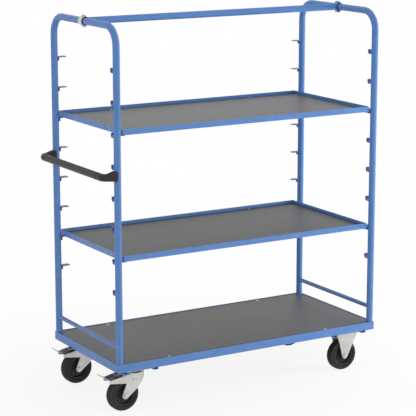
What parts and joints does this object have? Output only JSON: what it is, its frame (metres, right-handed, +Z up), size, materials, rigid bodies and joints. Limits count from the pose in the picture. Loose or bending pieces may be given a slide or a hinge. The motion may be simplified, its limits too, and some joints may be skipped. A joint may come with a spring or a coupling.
{
  "type": "shelf trolley",
  "caption": "Tall steel shelf trolley with tube end frames, hook-in tray shelves, a boarded deck, a push handle and braked swivel and fixed casters.",
  "frame": {"origin": "on the floor, under the middle of the whole outline", "axes": "+Z up, +X along the trolley away from the push handle, +Y from the front side to the back side"},
  "size_m": [1.5679, 0.697, 1.8799],
  "materials": {
    "blue_paint": "powder coat, semi-gloss",
    "grey_board": "dark grey laminate, matt",
    "black_plastic": "fine grain",
    "clamp_rubber": "matt",
    "zinc": "bright zinc plate",
    "tyre_rubber": "matt, ringed side walls",
    "rim_plastic": "moulded",
    "dark_steel": "dark plated"
  },
  "bodies": {
    "trolley": {"left_front_caster_plate": "zinc", "left_front_kingpin": "zinc", "right_front_fork": "zinc", "right_front_axle_bolt": "zinc", "right_front_axle_nut": "zinc", "left_rear_caster_plate": "zinc", "left_rear_kingpin": "zinc", "right_rear_fork": "zinc", "right_rear_axle_bolt": "zinc", "right_rear_axle_nut": "zinc", "base_rim": "blue_paint", "left_caster_frame": "blue_paint", "right_caster_frame": "blue_paint", "left_end_frame": "blue_paint", "right_end_frame": "blue_paint", "left_rung": "blue_paint", "right_rung": "blue_paint", "top_rail": "blue_paint", "deck_board": "grey_board", "handle_grip": "black_plastic", "handle_foot_front": "black_plastic", "handle_foot_rear": "black_plastic", "left_clamp_liner": "clamp_rubber", "right_clamp_liner": "clamp_rubber", "left_rail_clamp": "zinc", "right_rail_clamp": "zinc", "deck_screw_1": "zinc", "deck_screw_2": "zinc", "deck_screw_3": "zinc", "deck_screw_4": "zinc", "left_clamp_bolt_upper": "zinc", "left_clamp_bolt_lower": "zinc", "right_clamp_bolt_upper": "zinc", "right_clamp_bolt_lower": "zinc"},
    "left_front_swivel": {"left_front_fork": "zinc", "left_front_axle_bolt": "zinc", "left_front_axle_nut": "zinc", "left_front_pedal_pin": "zinc"},
    "left_front_wheel": {"left_front_tyre": "tyre_rubber", "left_front_wheel_rim": "rim_plastic"},
    "left_front_brake": {"left_front_brake_pedal": "dark_steel", "left_front_brake_shoe": "dark_steel"},
    "right_front_wheel": {"right_front_tyre": "tyre_rubber", "right_front_wheel_rim": "rim_plastic"},
    "left_rear_swivel": {"left_rear_fork": "zinc", "left_rear_axle_bolt": "zinc", "left_rear_axle_nut": "zinc", "left_rear_pedal_pin": "zinc"},
    "left_rear_wheel": {"left_rear_tyre": "tyre_rubber", "left_rear_wheel_rim": "rim_plastic"},
    "left_rear_brake": {"left_rear_brake_pedal": "dark_steel", "left_rear_brake_shoe": "dark_steel"},
    "right_rear_wheel": {"right_rear_tyre": "tyre_rubber", "right_rear_wheel_rim": "rim_plastic"},
    "upper_shelf": {"upper_shelf_frame": "blue_paint", "upper_shelf_board": "grey_board"},
    "lower_shelf": {"lower_shelf_frame": "blue_paint", "lower_shelf_board": "grey_board"}
  },
  "joints": [
    {"name": "left_front_caster_swivel", "type": "hinge", "parent": "trolley", "child": "left_front_swivel", "pos_m": [-0.57498, -0.2535, 0.15], "axis": [0, 0, 1], "continuous": true},
    {"name": "left_front_wheel_spin", "type": "hinge", "parent": "left_front_swivel", "child": "left_front_wheel", "pos_m": [-0.63948, -0.2535, 0.08], "axis": [0, 1, 0], "continuous": true},
    {"name": "left_front_brake_press", "type": "hinge", "parent": "left_front_swivel", "child": "left_front_brake", "pos_m": [-0.64397, -0.2535, 0.18675], "axis": [0, -1, 0], "range_deg": [0, 8]},
    {"name": "right_front_wheel_spin", "type": "hinge", "parent": "trolley", "child": "right_front_wheel", "pos_m": [0.64202, -0.2535, 0.08], "axis": [0, 1, 0], "continuous": true},
    {"name": "left_rear_caster_swivel", "type": "hinge", "parent": "trolley", "child": "left_rear_swivel", "pos_m": [-0.57498, 0.2425, 0.15], "axis": [0, 0, 1], "continuous": true},
    {"name": "left_rear_wheel_spin", "type": "hinge", "parent": "left_rear_swivel", "child": "left_rear_wheel", "pos_m": [-0.63948, 0.2425, 0.08], "axis": [0, 1, 0], "continuous": true},
    {"name": "left_rear_brake_press", "type": "hinge", "parent": "left_rear_swivel", "child": "left_rear_brake", "pos_m": [-0.64397, 0.2425, 0.18675], "axis": [0, -1, 0], "range_deg": [0, 8]},
    {"name": "right_rear_wheel_spin", "type": "hinge", "parent": "trolley", "child": "right_rear_wheel", "pos_m": [0.64202, 0.2425, 0.08], "axis": [0, 1, 0], "continuous": true},
    {"name": "upper_shelf_lift", "type": "slide", "parent": "trolley", "child": "upper_shelf", "axis": [0, 0, 1], "range_m": [0, 0.1]},
    {"name": "lower_shelf_lift", "type": "slide", "parent": "trolley", "child": "lower_shelf", "axis": [0, 0, 1], "range_m": [0, 0.1]}
  ]
}
